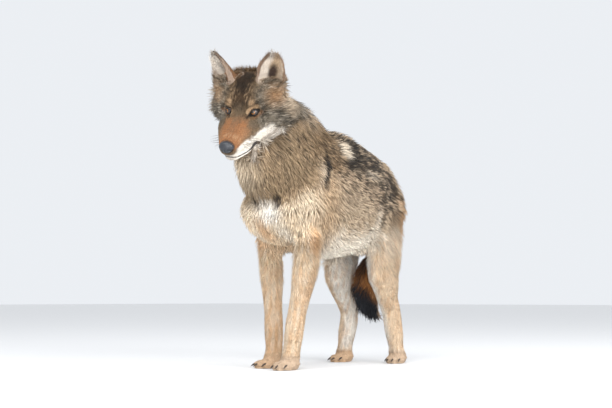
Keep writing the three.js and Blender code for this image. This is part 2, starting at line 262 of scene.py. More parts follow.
skinPoints, skinNormals = p, normalsOf(skinMesh)
skinPoints[:, 2] = np.maximum(skinPoints[:, 2], 0)
softNormals = unit(spread(skinNormals, 6))
head, body = toHead(coatSurface), toBody(coatSurface)
print("skin shaped")


# ---- the lie of the coat ----
tailPath = np.array([(0, 600, 640), (0, 645, 580), (-2, 635, 480), (-5, 585, 392), (-7, 512, 318),
    (-6, 478, 250), (-4, 500, 190), (-2, 538, 155)]) / 1000

def alongTail(q):
    middle = (tailPath[1:] + tailPath[:-1]) / 2
    heading = unit(tailPath[1:] - tailPath[:-1])
    weight = np.exp(-((q[:, None] - middle) ** 2).sum(2) / 0.05**2) + 1e-9
    return unit((weight[:, :, None] * heading).sum(1))

def lieOfCoat():
    x, y, z = body.T
    hx, hy, hz = head.T
    out = np.sign(x)[:, None] * np.array((1, 0, 0))
    # head: away from the nose, over the brow, then out and down over the cheeks
    back = unit(np.stack([hx * 0.012, np.ones(count), 0.30 + 0 * hx], 1))
    brow = step(-10, 40, hy) * step(-10, 25, hz)
    face = back + brow[:, None] * np.array((0, -0.2, 0.5)) + (cheek * 0.8)[:,
        None] * np.stack([np.sign(hx) * 0.25, 0 * hx, -0.75 + 0 * hx], 1)
    face += (step(-50, -85, hz) * step(-60, 0, hy))[:, None] * np.array((0, 0.2, -0.5))
    nearNose = np.exp(-((fromNose / 38) ** 2))[:, None]
    face = face * (1 - nearNose) + unit(head - np.array((0, -146, -42))) * nearNose * 1.5
    for s in (-1, 1):
        away = head - eyeSpot[s]
        around = np.exp(-((np.linalg.norm(away, axis=1) / 26) ** 4))[:, None]
        face = face * (1 - 0.75 * around) + unit(away) * around
    ears = np.zeros_like(face)
    for s in (-1, 1):
        e = toEar(head, s)
        fan = np.stack([e[:, 0] * 0.006, 0 * hx, np.ones(count)], 1)
        ears += (np.sign(hx) == s)[:, None] * (unit(fan) @ earAxes(s).T)
    neckDown = np.array((-0.02, 0.60, -0.80)) + (step(0.0, 0.12, np.abs(x)) * 0.25)[:,
        None] * np.array((0, 0.2, -0.6))
    chest = step(0.17, 0.03, y) * step(0.64, 0.5, z)
    shoulder = step(0.26, 0.1, y) * (1 - chest)
    top = step(0.60, 0.74, z)
    trunk = np.stack([0 * x, np.ones(count), -0.42 + 0.34 * top], 1) + shoulder[:,
        None] * np.array((0, -0.25, -0.75)) * (1 - top)[:, None]
    trunk += chest[:, None] * (np.array((0, -0.8, -1.7)) + 0.08 * out)
    trunk += (step(0.42, 0.62, y) * (1 - top))[:, None] * np.array((0, -0.25, -0.7))
    fore = np.stack([0 * x, 0.16 + 0 * x, -np.ones(count)], 1)
    hind = np.stack([0 * x, 0.35 * step(0.15, 0.4, z), -np.ones(count)], 1)
    paw = np.stack([0 * x, -0.9 + 0 * x, -0.55 + 0 * x], 1)
    lies = {"head": dirFromHead(unit(face)), "ear": dirFromHead(ears), "neck": unit(neckDown),
        "trunk": unit(trunk),
            "tail": alongTail(body), "fore": unit(fore), "hind": unit(hind), "paw": unit(paw)}
    flow = sum(mask[part][:, None] * lie for part, lie in lies.items())
    for _ in range(14):
        flow = flow - (flow * softNormals).sum(1)[:, None] * softNormals
        flow = unit(flow)
        calm = 0.9 - 0.6 * np.exp(-((fromEye / 30) ** 4)) - 0.5 * np.clip(mask["ear"], 0, 1)
        flow = spread(flow, 1, calm.clip(0.1, 0.9))
    return unit(flow - (flow * skinNormals).sum(1)[:, None] * skinNormals)

flow = lieOfCoat()

# hair length and how far its tip stands off the skin, in millimetres
innerEar = np.zeros(count)
for s in (-1, 1):
    e = toEar(head, s)
    facing = -(skinNormals @ headAxes @ earAxes(s))[:, 1]
    innerEar += (np.sign(head[:, 0]) == s) * mask["ear"].clip(0, 1) * step(0.05, 0.35, facing)
muzzle, brow = step(-10, -60, head[:, 1]), step(0, 50, head[:, 1])
headLength = (11 + 9 * brow - 5 * muzzle + 26 * np.maximum(cheek, throat) + 22
    * step(70, 130, head[:, 1])) * (1 - 0.5 * earBase)
headLength = headLength * (0.45 + 0.55 * step(18, 40, fromEye)) * (0.6 + 0.4 * step(10, 40, fromNose))
top = step(0.62, 0.75, body[:, 2])
lengths = byPart(head=headLength, ear=10 + 10 * innerEar, neck=62, trunk=46 + 12 * top, tail=52,
                 fore=legFade(0.2, 0.38, 14, 34), hind=legFade(0.22, 0.42, 14, 36), paw=9)
lengths = lengths * (1 - 0.35 * step(0.47, 0.40, body[:, 2]) * step(0.2, 0.1, body[:, 1])
    * mask["trunk"].clip(0, 1))
room = spread(np.linalg.norm(coatSurface - skinPoints, axis=1) * 1000, 3)
onTrunk = mask["trunk"].clip(0, 1)
heights = np.maximum(np.minimum(room * 0.95, depth * 1.05), lengths * 0.14)
heights = heights * (1 - 0.35 * onTrunk * step(0.55, 0.68, body[:, 2]) * step(0.22, 0.32, body[:, 1]))
heights = heights * (1 - 0.35 * onTrunk * step(0.14, 0.05, body[:, 1]) * step(0.5, 0.46, body[:, 2]))
headGap = 2.0 + 1.1 * np.maximum(cheek, throat) + 0.9 * step(70, 130, head[:, 1])
gap = byPart(head=headGap, ear=2.3, neck=4.2, trunk=4.8, tail=4.3,
             fore=legFade(0.2, 0.38, 2.7, 3.6), hind=legFade(0.22, 0.42, 2.8, 3.8), paw=2.5)


# ---- markings, and a few patches of painted light and shade: colours at the root, middle and tip of the hair, and how often a tip is black ----
backLine = (np.array((0.0, 0.13, 0.235, 0.335, 0.44, 0.53, 0.6, 0.66)),
    np.array((0.64, 0.75, 0.78, 0.766, 0.74, 0.718, 0.69, 0.64)),
    np.array((0.38, 0.348, 0.345, 0.356, 0.372, 0.396, 0.43, 0.49)))
palette = {
    "flank": ((150, 128, 104), (202, 182, 156), (184, 162, 136), 0.12),
    "belly": ((222, 208, 188), (240, 230, 214), (242, 232, 216), 0.0),
    "upperFlank": ((104, 88, 71), (196, 174, 147), (150, 128, 106), 0.36),
    "saddle": ((70, 60, 50), (208, 184, 154), (160, 136, 112), 0.5),
    "mane": ((88, 69, 50), (158, 129, 96), (110, 87, 62), 0.4),
    "ruff": ((118, 98, 75), (180, 155, 124), (146, 124, 96), 0.16),
    "chest": ((196, 172, 142), (230, 212, 186), (232, 214, 188), 0.02),
    "shoulder": ((148, 121, 93), (206, 179, 147), (188, 160, 128), 0.12),
    "cream": ((204, 188, 166), (240, 226, 205), (238, 223, 201), 0.0),
    "white": ((228, 218, 206), (248, 240, 229), (250, 244, 234), 0.0),
    "black": ((38, 35, 32), (46, 41, 37), (26, 25, 24), 0.6),
    "dark": ((74, 63, 52), (106, 90, 72), (56, 48, 40), 0.3),
    # dark brown painted as shade between the forelegs
    "shadeBetweenForelegs": ((140, 108, 78), (176, 140, 104), (160, 124, 90), 0.08),
    "rufous": ((178, 128, 84), (212, 164, 114), (204, 154, 106), 0.0),
    "legPale": ((216, 190, 159), (238, 213, 183), (240, 216, 187), 0.0),
    # pale tan for the tops of the forelegs, painted brighter than the fur as light from below
    "legTop": ((236, 206, 170), (248, 222, 188), (250, 226, 193), 0.0),
    "legTan": ((196, 154, 112), (218, 180, 138), (214, 174, 132), 0.0),
    "paw": ((188, 162, 136), (208, 184, 158), (210, 186, 162), 0.0),
    "tail": ((128, 82, 46), (176, 120, 70), (136, 92, 56), 0.12),
    "tailTip": ((24, 24, 26), (32, 34, 39), (24, 27, 33), 0.0),
    "brow": ((74, 59, 43), (134, 112, 86), (90, 73, 54), 0.38),
    "browDark": ((42, 32, 22), (76, 57, 39), (38, 28, 20), 0.36),
    "bridge": ((112, 74, 46), (162, 113, 74), (150, 103, 66), 0.10),
    "browPale": ((160, 128, 96), (200, 168, 132), (196, 164, 128), 0.0),
    "muzzleSide": ((134, 96, 66), (172, 130, 94), (160, 118, 82), 0.05),
    "underEye": ((78, 66, 54), (120, 103, 83), (82, 70, 57), 0.25),
    "temple": ((62, 54, 46), (130, 120, 105), (88, 79, 68), 0.46),
    "earBack": ((100, 68, 42), (140, 98, 60), (106, 74, 48), 0.1),
    "earBase": ((126, 90, 58), (184, 140, 96), (168, 124, 82), 0.06),
    "earRim": ((160, 136, 110), (200, 174, 144), (196, 170, 140), 0.0),
    "earInside": ((206, 192, 176), (236, 226, 213), (240, 231, 219), 0.0),
    # painted shade for the hollow of the ear
    "earHollowShade": ((44, 29, 25), (58, 41, 34), (72, 54, 46), 0.0),
    "hideDark": ((22, 18, 16), (26, 22, 19), (26, 22, 19), 0.0),
}
palette = {name: (*(linear(*c) for c in look[:3]), look[3]) for name, look in palette.items()}
eyeAlong = {s: unit(np.array((s * 0.745, 0.617, 0.257)) - np.array((s * 0.745, 0.617, 0.257)) @ eyeOut[s]
    * eyeOut[s]) for s in (-1, 1)}

eyeUp = {s: np.cross(eyeOut[s], eyeAlong[s]) * s for s in (-1, 1)}

def almond(h):  # below 1 inside the dark rim of either eye
    out = []
    for s in (-1, 1):
        away = h - eyeSpot[s]
        along, up = away @ eyeAlong[s], away @ eyeUp[s]
        out.append(np.sqrt((along / 17.5) ** 2 + (up / 7.6) ** 2) + 9 * (np.linalg.norm(away, axis=1) > 30))
    return np.minimum(*out)

def near(q, at, size, soft=0.5, power=2.0):  # 1 inside an ellipsoid, fading to 0 outside it
    d = ((np.abs((q - np.array(at)) / np.array(size))) ** power).sum(1) ** (1 / power)
    return 1 - step(1 - soft, 1 + soft, d)

def paint(points, normals, weight, shake):
    b, h = toBody(points), toHead(points)
    x, y, z = b.T
    hx, hy, hz = h.T
    ax = np.abs(x)
    jitter = ripple(points, 0.03) * 0.5 + ripple(points, 0.012, 1) * 0.35 + shake * 0.25
    total = len(points)
    look = [np.tile(c, (total, 1)) for c in palette["flank"][:3]] + [np.full(total, palette["flank"][3])]

    def lay(name, w):
        w = np.clip(w, 0, 1)
        for k in range(3):
            look[k] = look[k] + (palette[name][k] - look[k]) * w[:, None]
        look[3] = look[3] + (palette[name][3] - look[3]) * w

    def patch(name, q, at, size, soft, much=1.0):
        lay(name, near(q, at, size, soft) * much)

    def onFace(name, at, size, soft, much=1.0):
        lay(name, on * near(headSided, at, size, soft) * much)

    topLine, lowLine = np.interp(y, backLine[0], backLine[1]), np.interp(y, backLine[0], backLine[2])
    u = (z - lowLine) / (topLine - lowLine) + jitter * 0.07
    sided = np.stack([ax, y, z], 1)
    left = np.stack([x, y, z], 1)
    trunk = weight["trunk"].clip(0, 1)
    # trunk: cream belly, tan flanks, a black and tan saddle
    lay("belly", step(0.28, 0.08, u))
    lay("shoulder", step(0.2, 0.1, y) * step(0.66, 0.58, z))
    saddleEdge = z - (0.645 - (y - 0.2) * 0.42) + jitter * 0.03
    lay("upperFlank", step(-0.11, -0.02, saddleEdge) * step(0.1, 0.2, y))
    lay("saddle", step(-0.02, 0.03, saddleEdge) * step(0.17, 0.25, y + jitter * 0.02))
    patch("dark", sided, (0.125, 0.425, 0.505), (0.06, 0.013, 0.055), 0.6, 0.8)
    patch("dark", sided, (0.108, 0.41, 0.405), (0.05, 0.012, 0.045), 0.7, 0.5)
    patch("belly", sided, (0.12, 0.385, 0.44), (0.06, 0.022, 0.07), 0.7, 0.6)
    # chest
    front = step(0.12, 0.0, y) * step(0.60, 0.52, z + jitter * 0.015)
    lay("chest", front * trunk)
    # neck and mane
    lay("ruff", weight["neck"])
    # the throat's pale fur, laid on more strongly than its own colour needs, as painted light on the front of
    # the neck where it lies in shade
    lay("chest", near(left, (-0.02, -0.15, 0.625), (0.06, 0.07, 0.08), 0.8) * weight["neck"] * 0.85)
    lay("mane", weight["neck"] * step(-0.02, 0.2, (y + 0.03) * 0.9 + (z - 0.68) * 0.9 + jitter * 0.05))
    lay("mane", step(0.24, 0.14, y + jitter * 0.02) * step(0.60, 0.65, z + jitter * 0.03) * trunk)
    patch("cream", sided, (0.115, 0.045, 0.80), (0.05, 0.05, 0.05), 0.8, 0.35)
    # dark streaks along the lie of the hair, then the patches of the shoulder and back
    rest = 1 - weight["head"].clip(0, 1)
    maneStreak = ripple(np.stack([x, y * 0.8 + z * 0.6, (y * 0.6 - z * 0.8) * 0.2], 1), 0.011)
    backStreak = ripple(np.stack([x, y * 0.37 + z * 0.93, (y * 0.93 - z * 0.37) * 0.24], 1), 0.012, 1)
    maneWeight = step(0.0, 0.18, (y + 0.03) * 0.9 + (z - 0.68) * 0.9) * step(0.24, 0.16, y) * step(0.58,
        0.64, z) * rest
    lay("dark", maneWeight * step(0.2, 0.6, maneStreak) * 0.75)
    lay("ruff", maneWeight * step(-0.2, -0.6, maneStreak) * 0.6)
    lay("dark", weight["neck"] * rest * step(0.35, 0.8, maneStreak) * 0.35)
    backWeight = step(-0.04, 0.02, saddleEdge) * step(0.18, 0.25, y)
    lay("black", backWeight * step(0.1, 0.5, backStreak) * 0.7)
    lay("flank", backWeight * step(-0.15, -0.55, backStreak) * 0.65)
    lay("dark", trunk * step(0.12, 0.2, y) * step(0.35, 0.5, u) * step(0.35, 0.8, backStreak) * 0.55)
    patch("cream", sided, (0.12, 0.225, 0.695), (0.07, 0.023, 0.036), 0.5, 0.9)
    patch("black", sided, (0.12, 0.268, 0.696), (0.075, 0.024, 0.05), 0.5, 0.85)
    patch("black", sided, (0.13, 0.235, 0.652), (0.06, 0.045, 0.022), 0.6, 0.8)
    patch("black", sided, (0.12, 0.37, 0.672), (0.06, 0.055, 0.026), 0.7, 0.5)
    patch("black", sided, (0.11, 0.47, 0.60), (0.06, 0.05, 0.04), 0.7, 0.45)
    patch("cream", sided, (0.12, 0.345, 0.625), (0.06, 0.05, 0.016), 0.7, 0.4)
    patch("black", sided, (0.138, 0.094, 0.628), (0.07, 0.013, 0.066), 0.45)
    patch("cream", sided, (0.13, 0.07, 0.60), (0.06, 0.014, 0.05), 0.7, 0.35)
    lay("black", step(0.035, 0.012, ax + jitter * 0.008) * step(0.72, 0.78, z) * step(0.3, 0.2, y)
        * (1 - weight["head"].clip(0, 1)) * 0.6)
    patch("dark", left, (0.085, 0.0, 0.70), (0.05, 0.012, 0.09), 0.8, 0.35)
    patch("white", left, (0.018, -0.06, 0.482), (0.05, 0.09, 0.036), 0.5)
    patch("cream", left, (-0.05, -0.06, 0.48), (0.05, 0.09, 0.04), 0.6, 0.7)
    # painted shade: a dark brown strip in the gap between the forelegs
    patch("shadeBetweenForelegs", left, (0.018, -0.05, 0.41), (0.014, 0.05, 0.014), 0.7, 0.6)
    for side in (-0.029, 0.061):
        patch("black", left, (side, -0.066, 0.515), (0.012, 0.06, 0.018), 0.5, 0.95)
    # the lower chest over the forelegs: pale tan fur, painted brighter as light from below where the chest's
    # shade falls
    patch("legTop", left, (-0.06, 0.0, 0.42), (0.075, 0.10, 0.065), 0.7)
    patch("legTop", left, (0.09, 0.0, 0.41), (0.06, 0.09, 0.06), 0.7, 0.4)
    patch("rufous", left, (-0.01, -0.03, 0.43), (0.022, 0.06, 0.035), 0.8, 0.55)
    # legs
    inside = step(0.02, -0.02, (normals[:, 0] * np.sign(x)) * 0.04)
    fore = weight["fore"].clip(0, 1)
    legStreak = ripple(points * np.array((1.0, 1.0, 0.25)), 0.012, 2)
    lay("legPale", fore * step(0.54, 0.44, z))
    # the upper forelegs: pale tan, painted brighter as light from below
    lay("legTop", fore * step(0.26, 0.34, z) * 0.7)
    patch("belly", sided, (0.058, -0.03, 0.395), (0.02, 0.06, 0.06), 0.7, 0.8)
    lay("dark", near(left, (0.095, -0.01, 0.405), (0.022, 0.06, 0.045), 0.8) * step(-0.1, 0.5, legStreak)
        * 0.7)
    lay("legTan", fore * step(0.5, -0.4, -normals[:, 1] + jitter * 0.3) * step(0.1, 0.25, z) * 0.5
        * (1 - 0.6 * inside))
    lay("legTan", fore * step(0.24, 0.12, z) * step(0, -0.02, x) * 0.6)
    patch("dark", sided, (0.115, 0.005, 0.372), (0.03, 0.03, 0.018), 0.8, 0.4)
    patch("rufous", sided, (0.135, 0.04, 0.392), (0.05, 0.022, 0.04), 0.7, 0.8)
    patch("rufous", left, (-0.07, -0.03, 0.39), (0.05, 0.05, 0.05), 0.8, 0.2)
    lay("legTan", fore * step(0.0, 0.6, legStreak) * 0.45)
    lay("belly", fore * step(-0.2, -0.7, legStreak) * 0.3)
    hind = weight["hind"].clip(0, 1)
    lay("legPale", hind * step(0.5, 0.3, z))
    lay("white", hind * inside * 0.9)
    lay("legTan", hind * step(0.1, 0.8, normals[:, 1] + jitter * 0.3) * 0.75)
    lay("legTan", hind * step(0.1, 0.6, legStreak) * 0.4)
    lay("flank", hind * (1 - inside) * step(0.42, 0.54, z + jitter * 0.03) * 0.6)
    lay("rufous", step(0.50, 0.56, y) * step(0.6, 0.5, z) * step(0.36, 0.44, z)
        * (1 - weight["tail"].clip(0, 1)) * 0.45)
    lay("paw", weight["paw"])
    lay("legTan", weight["paw"] * step(0, -0.02, x) * 0.4)
    # tail
    tail = weight["tail"].clip(0, 1)
    lay("tail", tail)
    lay("saddle", tail * step(-0.1, 0.5, normals[:, 1] + normals[:, 2] * 0.4 + jitter * 0.3) * 0.85)
    lay("tailTip", tail * step(0.012, -0.02, z - (0.275 - (y - 0.428) * 1.0) + jitter * 0.012)
        * step(0.36, 0.3, z))
    lay("tailTip", tail * step(0.018, 0.0, y + 0.016
        - np.interp(z, (0.25, 0.32, 0.39, 0.48), (0.43, 0.47, 0.545, 0.6)) + jitter * 0.01) * 0.8)
    # head
    on = weight["head"].clip(0, 1)
    ahx = np.abs(hx)
    headSided = np.stack([ahx, hy, hz], 1)
    faceStreak = ripple(np.stack([hx, hy * 0.25, hz * 0.6], 1) / 1000, 0.006, 1)
    lay("brow", on * step(170, 120, hy))
    lay("temple", on * step(44, 68, ahx + jitter * 8) * step(-40, -10, hy))
    lay("cream", on * step(44, 68, ahx) * step(0.05, 0.6, ripple(points, 0.014, 1)) * 0.3)
    lay("hideDark", on * step(40, 66, ahx) * step(0.3, 0.8,
        ripple(points * np.array((1.0, 1.0, 0.5)), 0.009, 2)) * 0.5)
    onFace("browDark", (0, 16, 44), (36, 50, 44), 0.6, 0.95)
    lay("browPale", on * near(headSided, (22, 24, 50), (16, 40, 30), 0.7) * step(0.1, 0.7, faceStreak) * 0.45)
    lay("hideDark", on * step(30, 14, ahx + jitter * 14) * step(4, 30, hy + jitter * 10)
        * step(140, 110, hy) * step(24, 46, hz) * 0.9)
    onFace("temple", (58, 30, 52), (18, 26, 22), 0.6, 0.5)
    lay("bridge", on * step(-16, -62, hy + jitter * 14) * step(-62, -50, hz + hy * 0.04 + jitter * 4)
        * step(42, 33, ahx + jitter * 3))
    lay("underEye", on * step(-112, -60, hy) * step(-10, -40, hy) * step(0.1, 0.7, faceStreak)
        * step(24, 8, ahx) * 0.45)
    lay("browPale", on * step(-126, -100, hy) * step(-90, -112, hy) * step(-60, -44, hz)
        * step(-0.1, 0.6, faceStreak) * 0.5)
    lay("brow", on * step(0.2, 0.8, ripple(points, 0.011, 2)) * step(-112, -80, hy) * step(-30, -50, hy)
        * 0.35)
    onFace("underEye", (0, -60, -6), (10, 34, 14), 0.8, 0.3)
    onFace("underEye", (0, -16, 14), (16, 20, 16), 0.7, 0.6)
    onFace("muzzleSide", (34, -78, -34), (9, 34, 12), 0.8, 0.7)
    onFace("bridge", (36, -66, -34), (12, 24, 12), 0.9, 0.7)
    onFace("underEye", (46, -31, -26), (15, 15, 14), 0.6, 0.9)
    lips = on * step(-41, -53, hz - hy * 0.02 + jitter * 6)
    lay("white", lips * step(10, -24, hy) * step(-134, -118, hy))
    onFace("cream", (58, -40, -88), (25, 24, 26), 0.6, 0.9)
    onFace("white", (54, -50, -82), (22, 22, 22), 0.6, 0.95)
    onFace("white", (94, -3, -50), (9, 12, 11), 0.7, 0.75)
    lay("ruff", on * step(-92, -104, hz + jitter * 8) * step(-84, -60, hy))
    onFace("ruff", (112, 0, -95), (26, 40, 30), 0.7, 0.5)
    lay("mane", on * step(84, 120, hy + jitter * 10) * step(-60, -20, hz))
    onFace("browDark", (0, 92, 66), (46, 50, 40), 0.7, 0.75)
    lay("brow", near(headSided, (112, -6, -94), (30, 44, 34), 0.8) * (1 - weight["ear"].clip(0, 1)) * 0.6)
    rim = almond(h)
    over = np.where(hx > 0, (h - eyeSpot[1]) @ eyeUp[1], (h - eyeSpot[-1]) @ eyeUp[-1])
    lay("browPale", on * step(2.9, 2.2, rim) * step(2, 7, over) * step(62, 48, ahx) * 0.9)
    onFace("browPale", (36, 2, 27), (9, 9, 12), 0.6, 0.7)
    lay("bridge", on * step(2.6, 1.8, rim) * step(-2, -6, over) * step(34, 44, ahx) * 0.5)
    onFace("hideDark", (30, -27, -5), (5, 9, 5), 0.7, 0.8)
    onFace("earBase", (96, 60, 26), (30, 32, 30), 0.9, 0.65)
    lay("browPale", on * near(h, (-70, 50, 26), (34, 30, 22), 0.8) * 0.5)
    lay("browPale", near(headSided, (122, 92, -26), (30, 30, 44), 0.8) * (1 - weight["ear"].clip(0, 1))
        * 0.55)
    onFace("cream", (118, 96, -22), (26, 26, 40), 0.8, 0.55)
    lay("hideDark", on * step(1.35, 1.0, rim))
    noseFar = np.linalg.norm((h - noseSpot) / noseSize, axis=1)
    lay("browDark", on * step(1.3, 1.05, noseFar) * 0.6)
    onFace("hideDark", (51, -46, -83), (7, 10, 4), 0.5)
    # ears
    ear = weight["ear"].clip(0, 1)
    lay("earBack", ear)
    for s in (-1, 1):
        mine = ear * (np.sign(hx) == s)
        e = toEar(h, s)
        facing = -(normals @ headAxes @ earAxes(s))[:, 1]
        front = step(-0.1, 0.25, facing)
        lay("earRim", mine * front)
        lay("earInside", mine * front * step(-60 if s < 0 else -4, -44 if s < 0 else 12, -e[:, 0] * s
            + jitter * 5) * 0.95)
        lay("earInside", mine * front * step(16, 28, e[:, 0] * s + jitter * 4) * 0.35)
        across = np.abs(e[:, 0]) / np.interp(e[:, 2], (-26, 4, 30, 60, 90, 118), (36, 43, 47, 42, 34, 18))
        lay("earBack", mine * front * step(0.74, 0.92, across + jitter * 0.1) * (0.85 if s > 0 else 0.7))
        # painted shade: a dark patch down the hollow of each ear's front, strong on the left ear, faint on
        # the right
        lay("earHollowShade", mine * front * near(np.stack([e[:, 0], 0 * e[:, 0], e[:, 2]], 1),
            (s * 6, 0, 44), (13, 1, 34), 0.45) * (0.95 if s > 0 else 0.4))
        lay("browDark", mine * (1 - front) * step(80, 104, e[:, 2]) * 0.6)
        lay("browDark", mine * step(96, 116, e[:, 2]) * 0.5)
    return look


# ---- surfaces ----
def nodesOf(name):
    m = bpy.data.materials.new(name)
    m.use_nodes = True
    tree = m.node_tree
    return m, tree, tree.nodes["Principled BSDF"]

def addNode(tree, kind, settings={}, **sources):  # settings fill sockets, sources are wired to them
    new = tree.nodes.new("ShaderNode" + kind)
    for socket, value in settings.items():
        new.inputs[socket].default_value = value
    for socket, source in sources.items():
        tree.links.new(source, new.inputs[socket])
    return new

def attribute(tree, name):
    new = tree.nodes.new("ShaderNodeAttribute")
    new.attribute_name = name
    return new.outputs

def bumpOf(tree, height, strength, distance):
    bump = addNode(tree, "Bump", {"Strength": strength, "Distance": distance}, Height=height)
    return bump.outputs["Normal"]

def furMaterial(name, streak, rough):
    m, tree, shader = nodesOf(name)
    noise = addNode(tree, "TexNoise", {"Scale": 1.0, "Detail": 2.0},
        Vector=attribute(tree, "strand")["Vector"])
    limits = {"From Min": 0.3, "From Max": 0.7, "To Min": 1 - streak, "To Max": 1 + streak}
    strands = addNode(tree, "MapRange", limits, Value=noise.outputs["Fac"])
    scale = tree.nodes.new("ShaderNodeVectorMath")
    scale.operation = "SCALE"
    tree.links.new(attribute(tree, "coat")["Vector"], scale.inputs[0])
    tree.links.new(strands.outputs["Result"], scale.inputs["Scale"])
    tree.links.new(scale.outputs["Vector"], shader.inputs["Base Color"])
    shader.inputs["Roughness"].default_value = rough
    shader.inputs["Specular IOR Level"].default_value = 0.25
    return m

furLook = {"streak": 0.3, "roughness": 0.62}
coatMaterial = furMaterial("coat_hair", furLook["streak"], furLook["roughness"])

def skinMaterial():
    m, tree, shader = nodesOf("coat_skin")
    place = tree.nodes.new("ShaderNodeTexCoord").outputs["Object"]
    noise = addNode(tree, "TexNoise", {"Scale": 420}, Vector=place)
    tree.links.new(bumpOf(tree, noise.outputs["Fac"], 0.4, 0.001), shader.inputs["Normal"])
    tree.links.new(attribute(tree, "coat")["Color"], shader.inputs["Base Color"])
    shader.inputs["Roughness"].default_value = 0.85
    return m

def addColours(mesh, name, values):
    layer = mesh.attributes.new(name, "FLOAT_COLOR", "POINT")
    rgba = np.ones((len(values), 4), np.float32)
    rgba[:, :3] = values
    layer.data.foreach_set("color", rgba.ravel())

def addVectors(mesh, name, values):
    layer = mesh.attributes.new(name, "FLOAT_VECTOR", "POINT")
    layer.data.foreach_set("vector", values.astype(np.float32).ravel())

# the visible skin has fewer faces, kept mostly on the head
skin = bpy.data.objects.new("wolf_skin", skinMesh)
collection.objects.link(skin)
skinLook = paint(skinPoints, skinNormals, mask, 0 * depth)
addColours(skinMesh, "coat", skinLook[0] * 0.55 + skinLook[1] * 0.3)
fine = skin.vertex_groups.new(name="fine")
keep = np.clip(mask["head"] + mask["ear"] + mask["paw"], 0, 1)
for level in range(5):
    chosen = np.nonzero(np.minimum((keep * 5).astype(int), 4) == level)[0]
    fine.add(chosen.tolist(), 1 - level * 0.22, "REPLACE")
triangles = sum(len(f.vertices) - 2 for f in skinMesh.polygons)
if triangles > skinMake["faces"]:
    decimate = skin.modifiers.new("decimate", "DECIMATE")
    decimate.ratio = skinMake["faces"] / triangles
    decimate.vertex_group = "fine"
    decimate.vertex_group_factor = 1.0
    lighter = bpy.data.meshes.new_from_object(skin.evaluated_get(bpy.context.evaluated_depsgraph_get()))
    skin.modifiers.clear()
    skin.data = lighter
skin.vertex_groups.clear()
skin.data.name = "wolf_skin"
skin.data.materials.clear()
skin.data.materials.append(skinMaterial())
skin.data.shade_smooth()
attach(skin, "root")
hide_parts(*fleshNodes)
print("skin faces", len(skin.data.polygons), "of", triangles)


# ---- coat: tufts rooted on the skin ----
corners = readAll(skinMesh.polygons, "vertices", 4, int)
trios = np.concatenate([corners[:, [0, 1, 2]], corners[:, [0, 2, 3]]])

coatMake = {"tries": 4.0, "sink": 0.9, "clump": 0.35, "turn": 0.30, "waveSize": 0.05}

def cellKey(cell):  # one number for each little cube of space
    return (cell[:, 0] * 73856093) ^ (cell[:, 1] * 19349663) ^ (cell[:, 2] * 83492791)

def scatter():  # evenly spaced roots, closer together where the hair is short
    a, b, c = (skinPoints[trios[:, k]] for k in range(3))
    area = np.linalg.norm(np.cross(b - a, c - a), axis=1) / 2 * 1e6
    space = gap[trios].mean(1)
    chance = area / space**2
    tries = int(chance.sum() * coatMake["tries"])
    pick = random.choice(len(trios), tries, p=chance / chance.sum())
    r1, r2 = np.sqrt(random.random(tries)), random.random(tries)
    share = np.stack([1 - r1, r1 * (1 - r2), r1 * r2], 1)
    place = (skinPoints[trios[pick]] * share[:, :, None]).sum(1)
    grade = np.round(np.log(space[pick] / 2) * 4)
    size = 2 * np.exp(grade / 4) / 1000
    cell = np.floor(place / size[:, None] + random.random(3)).astype(np.int64)
    key = cellKey(cell) * 32 + grade.astype(np.int64)
    _, first = np.unique(key, return_index=True)
    return trios[pick[first]], share[first]

rootTrio, rootShare = scatter()

def atRoots(values):
    v = values[rootTrio]
    return (v * (rootShare if values.ndim == 1 else rootShare[:, :, None])).sum(1)

root = {"place": atRoots(skinPoints), "normal": unit(atRoots(skinNormals) + 0.4 * atRoots(softNormals)),
        "flow": atRoots(flow), "length": atRoots(lengths), "height": atRoots(heights),
        "gap": atRoots(gap), "inner": atRoots(innerEar)}
rootMask = {name: atRoots(mask[name]) for name in mask}
skinTree = BVHTree.FromPolygons([Vector(v) for v in skinPoints], corners.tolist())

# where the lips meet, from one corner of the mouth to the other, with a half width in millimetres
def mouthPoints():
    out = []
    for s in (-1, 1):
        half = []
        for k in range(17):
            t = k / 16
            start = Vector(fromHead((0, -123 + 84 * t, -87 - 5 * sin(pi * t) + 4 * t**3)))
            hit = skinTree.ray_cast(start, Vector(dirFromHead((s, -0.25 if t < 0.2 else 0,
                0))).normalized())[0]
            if hit is not None:
                half.append((hit, 1.6 + 4.2 * max(0, (t - 0.6) / 0.4) * (1 if t < 0.97 else 0.5)))
        out.append(half)
    return out[0][::-1] + out[1]

mouthLine = mouthPoints()
root["head"], root["body"] = toHead(root["place"]), toBody(root["place"])
noseGap = np.linalg.norm((root["head"] - noseSpot) / noseSize, axis=1)
mouthGap = np.full(len(noseGap), 99.0)
for at, wide in mouthLine:
    mouthGap = np.minimum(mouthGap, np.linalg.norm(root["place"] - np.array(at), axis=1) * 1000 - wide)
onFloor = root["place"][:, 2] < 0.004
underPaw = (root["normal"][:, 2] < -0.75) & (root["place"][:, 2] < 0.02)
good = (almond(root["head"]) > 0.9) & (noseGap > 1.1) & (mouthGap > 1.2) & ~onFloor & ~underPaw
keepOrder = np.nonzero(good)[0]
for key in root:
    root[key] = root[key][keepOrder]
rootMask = {name: v[keepOrder] for name, v in rootMask.items()}
print("tufts", len(keepOrder))

def clumped(place, size, offset):  # the middle of the lump that each root belongs to
    cell = np.floor(place / size + offset).astype(np.int64)
    _, group = np.unique(cellKey(cell), return_inverse=True)
    number = np.bincount(group)
    return np.stack([np.bincount(group, place[:, c]) / number for c in range(3)], 1)[group], group

